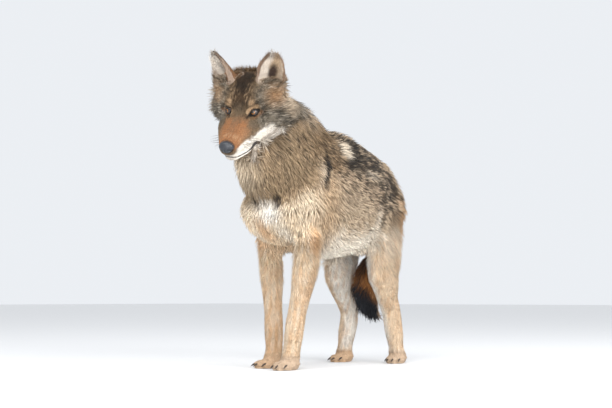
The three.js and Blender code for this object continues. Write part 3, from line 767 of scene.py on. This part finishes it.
def tufts(name, chosen, rings, unwrap, seed, calm=1.0):
    dice = np.random.default_rng(seed)
    take = {key: value[chosen] for key, value in root.items()}
    n = len(take["place"])
    normal, fwd = take["normal"], take["flow"]
    fwd = unit(fwd - (fwd * normal).sum(1)[:, None] * normal)
    side = np.cross(fwd, normal)
    angle = coatMake["turn"] * (ripple(take["place"], coatMake["waveSize"], 2) * 0.8
        + dice.normal(size=n) * 0.45)
    fwd = fwd * np.cos(angle)[:, None] + side * np.sin(angle)[:, None]
    side = np.cross(fwd, normal)
    long = take["length"] / 1000 * dice.uniform(0.72, 1.15, n)
    tall = take["height"] / 1000 * dice.uniform(0.55, 1.12, n)
    tall = np.minimum(tall, long * 0.8)
    reach = np.sqrt(long**2 - tall**2)
    middle, group = clumped(take["place"], np.clip(take["gap"].mean() * 3.2, 6, 20) / 1000, dice.random(3))
    pull = (middle - take["place"])
    pull = pull - (pull * normal).sum(1)[:, None] * normal
    pull = pull * (coatMake["clump"] * dice.uniform(0.4, 1.4, n))[:, None]
    sway = dice.normal(size=n) * 0.06 * long
    half = np.clip(take["gap"] * dice.uniform(0.24, 0.52, n), 0.45, 2.4) / 1000
    steps = {1: np.array([0.0]), 2: np.array([0.0, 0.5]), 3: np.array([0.0, 0.3, 0.66])}[rings]
    width = np.interp(steps, [0, 0.25, 0.6, 0.85, 1], [0.75, 1.0, 0.85, 0.45, 0.0])
    verts = np.empty((n, rings * 3 + 1, 3))
    along = np.empty((n, rings * 3 + 1))
    around = np.empty((n, rings * 3 + 1))
    def centre(t):
        lift = tall * (1 - (1 - t) ** 1.9) - (1 - t) * coatMake["sink"] / 1000
        return take["place"] + fwd * (reach * t)[:, None] + normal * lift[:,
            None] + pull * t**1.3 + side * (sway * t * t)[:, None]
    for i, t in enumerate(steps):
        mid = centre(t)
        w = (half * width[i])[:, None]
        for j, (across, over) in enumerate(((-1, -0.12), (1, -0.12), (0, 0.42))):
            verts[:, i * 3 + j] = mid + side * w * across + normal * w * over
            along[:, i * 3 + j] = t
            around[:, i * 3 + j] = across
    verts[:, -1] = centre(1.0)
    along[:, -1], around[:, -1] = 1, 0
    verts[:, :, 2] = np.maximum(verts[:, :, 2], 0.0004)
    nv = rings * 3 + 1
    faces = []
    for i in range(rings - 1):
        for a, b in ((0, 1), (1, 2), (2, 0)):
            faces.append((i * 3 + b, i * 3 + a, i * 3 + 3 + a, i * 3 + 3 + b))
    last = (rings - 1) * 3
    ends = [(last + b, last + a, nv - 1) for a, b in ((0, 1), (1, 2), (2, 0))] + [(0, 1, 2)]
    loops = np.array([v for f in faces for v in f] + [v for f in ends for v in f])
    sizes = np.array([4] * len(faces) + [3] * len(ends))
    allLoops = (np.arange(n)[:, None] * nv + loops[None]).ravel()
    allSizes = np.tile(sizes, n)
    mesh = bpy.data.meshes.new(name)
    mesh.vertices.add(n * nv)
    mesh.vertices.foreach_set("co", verts.astype(np.float32).ravel())
    mesh.loops.add(len(allLoops))
    mesh.loops.foreach_set("vertex_index", allLoops.astype(np.int32))
    mesh.polygons.add(len(allSizes))
    starts = np.concatenate([[0], np.cumsum(allSizes)[:-1]])
    mesh.polygons.foreach_set("loop_start", starts.astype(np.int32))
    mesh.update(calc_edges=True)
    mesh.shade_smooth()
    # colours along each tuft, with black tips in streaks that follow the coat
    shake = dice.normal(size=n) * 0.5
    weight = {key: value[chosen] for key, value in rootMask.items()}
    rootColour = paint(take["place"], normal, weight, shake)[0]
    midColour, tipColour, grizzle = paint(take["place"] + fwd * (reach * 0.62)[:, None] + normal
        * tall[:, None], normal, weight, shake)[1:]
    lock = dice.random(group.max() + 1)[group]
    streaky = 0.5 + 0.5 * ripple(take["place"] * np.array((1.0, 0.5, 0.9)), 0.014, 1)
    blackTip = (dice.random(n) * 0.25 + lock * 0.5 + streaky * 0.25 < grizzle)[:, None]
    darkHair = linear(32, 29, 27)
    tint = (1 + (dice.normal(size=n) * 0.10 + (lock - 0.5) * 0.14 + ripple(take["place"], 0.018, 1)
        * 0.07) * calm)[:, None, None]
    shade = 1 - 0.3 * np.clip(take["height"] / 12, 0.15, 1)
    knots = np.stack([rootColour * shade[:, None], rootColour,
        np.where(blackTip, midColour * 0.55, midColour),
        np.where(blackTip, darkHair * 1.5, (midColour + tipColour) / 2),
        np.where(blackTip, darkHair, tipColour)], 1)
    where = np.array([0, 0.2, 0.5, 0.75, 1.0])
    flat = np.empty((n, nv, 3))
    for v in range(nv):
        t = along[0, v]
        k = min(int(np.searchsorted(where, t, side="right")) - 1, 3)
        f = (t - where[k]) / (where[k + 1] - where[k])
        flat[:, v] = knots[:, k] * (1 - f) + knots[:, k + 1] * f
    if rings == 1:
        flat[:, :3] = (flat[:, :3] + knots[:, 2][:, None]) / 2
    addColours(mesh, "coat", np.clip(flat * tint, 0, 1).reshape(-1, 3))
    luck = dice.random(n) * 100
    strand = np.stack([around * 1.6 + luck[:, None], along * 1.2 + 7 * luck[:, None],
        np.repeat(luck[:, None] * 3, nv, 1)], 2)
    addVectors(mesh, "strand", strand.reshape(-1, 3))
    # each tuft is a small patch at its root's place on the unwrapped skin
    uv = unwrap(take)
    patch = 0.003
    spotUv = uv[:, None] + np.stack([around * 0.5, along - 0.5], 2) * patch
    layer = mesh.uv_layers.new(name="OFBake")
    layer.data.foreach_set("uv", spotUv.reshape(-1, 2)[allLoops].astype(np.float32).ravel())
    mesh.materials.append(coatMaterial)
    ob = bpy.data.objects.new(name, mesh)
    collection.objects.link(ob)
    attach(ob, "root")
    print(name, n, "tufts", int(n * (6 * (rings - 1) + 4)), "triangles")
    return ob

def fitUv(u, v, sheets=None):  # fills the square; sheets are laid side by side
    def squeeze(a):
        return (a - a.min()) / max(a.max() - a.min(), 1e-6)
    if sheets is None:
        return np.stack([0.01 + 0.98 * squeeze(u), 0.01 + 0.98 * squeeze(v)], 1)
    out = np.zeros((len(u), 2))
    kinds = np.unique(sheets)
    for i, kind in enumerate(kinds):
        mine = sheets == kind
        out[mine, 0] = (i + 0.02 + 0.96 * squeeze(u[mine])) / len(kinds)
        out[mine, 1] = 0.01 + 0.98 * squeeze(v[mine])
    return out

def aroundBarrel(take):
    x, y, z = take["body"].T
    return fitUv(np.arctan2(x, -(z - 0.56)), y)

def aroundNeck(take):
    q = take["body"] - np.array((0.012, 0.0, 0.71))
    down = unit(np.array((-0.05, 0.65, -0.76)))
    across = np.array((1.0, 0, 0))
    up = np.cross(across, down)
    return fitUv(np.arctan2(q @ across, -(q @ up)), q @ down)

def aroundHead(take):
    q = take["head"] - np.array((0, 10, -20))
    return fitUv(np.arctan2(q[:, 0], -q[:, 1]), q[:, 2] / np.linalg.norm(q, axis=1),
        (take["head"][:, 1] > 20).astype(int))

def aroundEars(take):
    s = np.sign(take["head"][:, 0])
    e = np.where((s > 0)[:, None], toEar(take["head"], 1), toEar(take["head"], -1))
    return fitUv(e[:, 0], e[:, 2], s * 2 + (take["inner"] > 0.5))

def aroundTail(take):
    q = take["body"]
    middle = (tailPath[1:] + tailPath[:-1]) / 2
    heading = unit(tailPath[1:] - tailPath[:-1])
    nearest = np.argmin(((q[:, None] - middle) ** 2).sum(2), 1)
    off = q - middle[nearest]
    lengthwise = nearest * 0.09 + (off * heading[nearest]).sum(1)
    upward = np.cross(heading[nearest], np.array((1.0, 0, 0)))
    return fitUv(np.arctan2(off[:, 0], (off * upward).sum(1)), lengthwise)

legLines = {"fore": ((0.052, 0.02), (-0.056, 0.05)), "hind": ((0.095, 0.50), (-0.085, 0.46))}

def aroundLegs(kind):
    def unwrap(take):
        x, y, z = take["body"].T
        s = np.sign(x)
        bend = np.interp(z, (0, 0.17, 0.3, 0.6), (0, 0, -0.02, 0.02)) if kind == "hind" else z * 0.08
        lean = np.interp(z, (0, 0.15, 0.4), (0, 0.012, 0.04)) if kind == "fore" else z * 0
        cx = np.where(s > 0, legLines[kind][0][0] + lean, legLines[kind][1][0] - lean)
        cy = np.where(s > 0, legLines[kind][0][1], legLines[kind][1][1]) + bend
        return fitUv(np.arctan2(x - cx, -(y - cy)), z, s)
    return unwrap

kind = np.array(list(rootMask))[np.argmax(np.stack([rootMask[k] for k in rootMask]), 0)]
y = root["body"][:, 1]
paws, frontHalf = kind == "paw", y < 0.22
faceSide = root["head"][:, 1] < 20
flanks, onLeft = (kind == "trunk") & (y >= 0.15), root["body"][:, 0] >= 0
regions = [
    ("face_coat", (kind == "head") & faceSide, 2, aroundHead, "grey_coat", 0.8),
    ("head_coat", (kind == "head") & ~faceSide, 2, aroundHead, "grey_coat", 1.0),
    ("ear_coat", kind == "ear", 1, aroundEars, "rust_coat", 0.7),
    ("neck_coat", kind == "neck", 3, aroundNeck, "grey_coat", 1.0),
    ("chest_coat", (kind == "trunk") & (y < 0.15), 3, aroundBarrel, "grey_coat", 1.0),
    ("left_flank_coat", flanks & onLeft, 3, aroundBarrel, "grey_coat", 1.0),
    ("right_flank_coat", flanks & ~onLeft, 3, aroundBarrel, "grey_coat", 1.0),
    ("foreleg_coat", (kind == "fore") | (paws & frontHalf), 1, aroundLegs("fore"), "tan_coat", 1.3),
    ("hind_leg_coat", (kind == "hind") | (paws & ~frontHalf), 1, aroundLegs("hind"), "tan_coat", 1.3),
    ("tail_coat", kind == "tail", 3, aroundTail, "rust_coat", 1.0),
]
for number, (name, chosen, rings, unwrap, slot, calm) in enumerate(regions):
    piece = tufts(name, np.nonzero(chosen)[0], rings, unwrap, 100 + number, calm)


# ---- eyes ----
eyeLook = {"radius": 0.0129, "iris": 6.3, "pupil": 2.5, "slit": (1.0, 0.29)}

def plainMaterial(name, colour, rough, coat=0.0):
    m, tree, shader = nodesOf(name)
    shader.inputs["Base Color"].default_value = (*colour, 1)
    shader.inputs["Roughness"].default_value = rough
    shader.inputs["Coat Weight"].default_value = coat
    shader.inputs["Coat Roughness"].default_value = 0.03
    return m

def eyeMaterial():
    m, tree, shader = nodesOf("amber_eye")
    ramp = addNode(tree, "ValToRGB", Fac=attribute(tree, "offAxis")["Fac"])
    pupil, iris = eyeLook["pupil"] / 10, eyeLook["iris"] / 10
    stops = [(0.0, (4, 4, 4)), (pupil - 0.02, (5, 4, 4)), (pupil + 0.02, (96, 60, 24)), (0.40, (150, 98, 42)),
             (iris - 0.06, (118, 70, 28)), (iris, (30, 20, 12)), (0.75, (44, 32, 26)), (1.0, (70, 56, 48))]
    while len(ramp.color_ramp.elements) < len(stops):
        ramp.color_ramp.elements.new(0.5)
    for element, (at, colour) in zip(ramp.color_ramp.elements, stops):
        element.position = at
        element.color = (*linear(*colour), 1)
    tree.links.new(ramp.outputs["Color"], shader.inputs["Base Color"])
    shader.inputs["Roughness"].default_value = 0.25
    shader.inputs["Coat Weight"].default_value = 0.45
    shader.inputs["Coat Roughness"].default_value = 0.02
    return m

amber = eyeMaterial()
lidMaterial = plainMaterial("eyelid", linear(24, 20, 18), 0.35)

def aim(direction, upward):  # a matrix whose z points along the direction
    zed = Vector(direction).normalized()
    ex = Vector(upward).cross(zed).normalized()
    return Matrix((ex, zed.cross(ex), zed)).transposed()

def finished(name, bm, material):
    mesh = bpy.data.meshes.new(name)
    bmesh.ops.recalc_face_normals(bm, faces=bm.faces)
    bm.to_mesh(mesh)
    bm.free()
    mesh.shade_smooth()
    mesh.materials.append(material)
    ob = bpy.data.objects.new(name, mesh)
    collection.objects.link(ob)
    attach(ob, "root")
    return ob

def joinRings(bm, rings, closed=False):
    for a, b in zip(rings, rings[1:] + rings[:1] if closed else rings[1:]):
        for k in range(len(a)):
            n = (k + 1) % len(a)
            bm.faces.new((a[k], a[n], b[n], b[k]))
    if not closed:
        bm.faces.new(rings[0])
        bm.faces.new(rings[-1])

def eyeball(sideName, s):
    middle = Vector(eyeMiddle[sideName])
    look = Vector(dirFromHead(unit(np.array((s * 0.34 - 0.2, -0.80, 0.46)))))
    upward = Vector(dirFromHead((0, 0.3, 1)))
    bm = bmesh.new()
    bmesh.ops.create_uvsphere(bm, u_segments=48, v_segments=40, radius=eyeLook["radius"])
    off = bm.verts.layers.float.new("offAxis")
    for v in bm.verts:
        angle = Vector((0, 0, 1)).angle(v.co)
        v[off] = min(angle * eyeLook["radius"] * 100, 1)
        v.co += v.co.normalized() * 0.0009 * max(0, 1 - (angle / 0.6) ** 2)
    bmesh.ops.transform(bm, matrix=Matrix.Translation(middle) @ aim(look, upward).to_4x4(), verts=bm.verts)
    ob = finished(sideName + "_eyeball", bm, amber)
    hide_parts(sideName + "_eye")

def eyelids(sideName, s):
    middle = Vector(eyeMiddle[sideName])
    outward, slit = eyeOut[s], eyeAlong[s]
    turn = Matrix((Vector(dirFromHead(slit)), Vector(dirFromHead(np.cross(outward, slit) * s)),
        Vector(dirFromHead(outward)))).transposed()
    bm = bmesh.new()
    loops = []
    for shell, size in ((0.01295, 0.0), (0.0143, 0.0), (0.0151, 0.12), (0.0152, 0.5), (0.0148, 1.0),
        (0.0126, 1.0)):
        ring = []
        for k in range(48):
            a = 2 * pi * k / 48
            cx, cy = cos(a), sin(a)
            pointed = abs(cy) ** 1.25 * (1 if cy > 0 else -1)
            inner = Vector((eyeLook["slit"][0] * cx * 0.92, eyeLook["slit"][1] * pointed
                * (1.0 if cy > 0 else 1.05) + 0.05 * cx, 0))
            outer = Vector((1.25 * cx, 0.72 * cy, 0))
            at = inner.lerp(outer, size)
            far = at.length
            direction = Vector((at.x / max(far, 1e-6) * sin(far), at.y / max(far, 1e-6) * sin(far), cos(far)))
            ring.append(bm.verts.new(middle + turn @ direction * shell))
        loops.append(ring)
    joinRings(bm, loops, closed=True)
    return finished(sideName + "_eyelids", bm, lidMaterial)

for sideName, s in (("right", -1), ("left", 1)):
    eyeball(sideName, s)
    eyelids(sideName, s)
print("eyes done")


# ---- nose leather ----
noseLook = {"size": (23.5, 17, 19.5), "at": (0, -137, -43.5)}

def noseMaterial():
    m, tree, shader = nodesOf("nose_leather")
    place = tree.nodes.new("ShaderNodeTexCoord").outputs["Object"]
    cells = addNode(tree, "TexVoronoi", {"Scale": 620}, Vector=place)
    tree.links.new(bumpOf(tree, cells.outputs["Distance"], 0.35, 0.0005), shader.inputs["Normal"])
    shader.inputs["Base Color"].default_value = (*linear(48, 50, 55), 1)
    shader.inputs["Roughness"].default_value = 0.38
    return m

def noseLeather():
    bm = bmesh.new()
    bmesh.ops.create_uvsphere(bm, u_segments=56, v_segments=40, radius=1)
    bmesh.ops.rotate(bm, cent=(0, 0, 0), matrix=turned("X", 90), verts=bm.verts)
    for v in bm.verts:
        x, y, z = v.co
        wide = 1 - 0.30 * max(0, -z)  # narrower below
        x, z = x * wide, z * (0.92 if z < 0 else 1.0)
        y = y + 0.10 * (z + 0.2) * (y < 0)
        push = 0.0
        for s in (-1, 1):
            d = ((x - s * 0.50 - s * 0.16 * max(0, -(z + 0.15))) / 0.24) ** 2 + ((z + 0.12) / 0.22) ** 2
            push += 0.62 * np.exp(-d * 1.3) * (y < 0)
        push += 0.16 * np.exp(-((x / 0.07) ** 2)) * (y < 0) * (z < 0.25)
        v.co = (x, y + push, z)
    size, at = noseLook["size"], noseLook["at"]
    for v in bm.verts:
        tilt = turned("X", 14) @ Vector((v.co.x * size[0], v.co.y * size[1], v.co.z * size[2]))
        v.co = Vector(fromHead(tilt + Vector(at)))
    ob = finished("nose_leather", bm, noseMaterial())
    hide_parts("nose")

noseLeather()


# ---- lips: a dark line round the mouth, open a little at its corners ----
def lips():
    bm = bmesh.new()
    path = mouthLine
    rings = []
    for i, (at, r) in enumerate(path):
        ahead = (path[min(i + 1, len(path) - 1)][0] - path[max(i - 1, 0)][0]).normalized()
        upward = Vector(dirFromHead((0, 0, 1)))
        over = ahead.cross(upward).normalized()
        upright = over.cross(ahead).normalized()
        scale = 0.25 if i in (0, len(path) - 1) else 1
        rings.append([bm.verts.new(at + (over * cos(2 * pi * k / 10) * 1.1 + upright
            * sin(2 * pi * k / 10)) * r / 1000 * scale) for k in range(10)])
    joinRings(bm, rings)
    finished("lips", bm, plainMaterial("lip_leather", linear(26, 22, 21), 0.45))

lips()
print("nose and lips done")


# ---- claws: the solids, rounded ----
clawNodes = sorted(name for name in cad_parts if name.endswith("_claw"))

def claws():
    whole = bmesh.new()
    for name in clawNodes:
        whole.from_mesh(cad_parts[name].data)
    bmesh.ops.remove_doubles(whole, verts=whole.verts, dist=2e-5)
    ob = finished("claws", whole, plainMaterial("claw_horn", linear(58, 48, 40), 0.35))
    soft = ob.modifiers.new("round", "SUBSURF")
    soft.levels = soft.render_levels = 2
    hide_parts(*clawNodes)

claws()


# ---- whiskers ----
def whiskers():
    bm = bmesh.new()
    dice = np.random.default_rng(31)
    for s in (-1, 1):
        for k in range(12):
            row, col = k % 3, k // 3
            start = Vector(fromHead((0, -104 + 12 * col + 3 * row, -52 - 7 * row)))
            hit = skinTree.ray_cast(start, Vector(dirFromHead((s, 0, 0))))[0]
            if hit is None:
                continue
            out = Vector(dirFromHead(unit(np.array((s * 0.8, 0.45 + 0.1 * dice.normal(), -0.25 - 0.15
                * row)))))
            sag = Vector((0, 0, -1)) * dice.uniform(0.1, 0.25)
            long = dice.uniform(0.032, 0.052)
            across = out.cross(Vector((0, 0, 1))).normalized()
            upright = across.cross(out).normalized()
            rings = []
            for i in range(6):
                t = i / 5
                mid = hit - out * 0.001 + (out * t + sag * t * t) * long
                r = 0.00042 * (1 - t) + 0.00008
                rings.append([bm.verts.new(mid + (across * cos(2 * pi * j / 4) + upright
                    * sin(2 * pi * j / 4)) * r) for j in range(4)])
            joinRings(bm, rings)
    finished("whiskers", bm, plainMaterial("whisker", linear(60, 50, 42), 0.4))

whiskers()


# ---- floor, light and camera ----
studio = {"floor": linear(234, 234, 234), "sky": 0.90, "key": 122, "fill": 112, "low": 96}

def floorSweep():
    bm = bmesh.new()
    bmesh.ops.create_grid(bm, x_segments=1, y_segments=1, size=30)
    mesh = bpy.data.meshes.new("floor")
    bm.to_mesh(mesh)
    bm.free()
    mesh.materials.append(plainMaterial("pale_floor", studio["floor"], 0.9))
    ob = bpy.data.objects.new("floor", mesh)
    collection.objects.link(ob)

floorSweep()
world = bpy.data.worlds.new("studio")
bpy.context.scene.world = world
world.use_nodes = True
world.node_tree.nodes["Background"].inputs["Color"].default_value = (0.93, 0.96, 1.0, 1)
world.node_tree.nodes["Background"].inputs["Strength"].default_value = studio["sky"]

def lamp(name, place, target, power, size):
    light = bpy.data.lights.new(name, "AREA")
    light.energy = power
    light.size = size
    ob = bpy.data.objects.new(name, light)
    ob.location = place
    ob.rotation_euler = (Vector(target) - Vector(place)).to_track_quat("-Z", "Y").to_euler()
    collection.objects.link(ob)

lamp("key", (1.2, -3.2, 4.2), (0, 0, 0.5), studio["key"], 3.0)
lamp("fill", (3.6, -0.6, 1.8), (0, 0, 0.5), studio["fill"], 2.5)
lamp("low", (2.2, -3.4, 0.35), (0, 0, 0.3), studio["low"], 2.0)

cameraLook = {"from": (2.2410, -2.4995, 0.2195), "to": (-0.0706, 0.2367, 0.5347), "lens": 63.0}
camera = bpy.data.cameras.new("camera")
camera.lens = cameraLook["lens"]
camera.sensor_width = 36
camera.clip_end = 100
viewer = bpy.data.objects.new("camera", camera)
place = Vector(cameraLook["from"]) + Vector(bodyFrom)
target = Vector(cameraLook["to"]) + Vector(bodyFrom)
viewer.location = place
viewer.rotation_euler = (target - place).to_track_quat("-Z", "Y").to_euler()
collection.objects.link(viewer)
bpy.context.scene.camera = viewer
bpy.context.scene.view_settings.view_transform = "Standard"
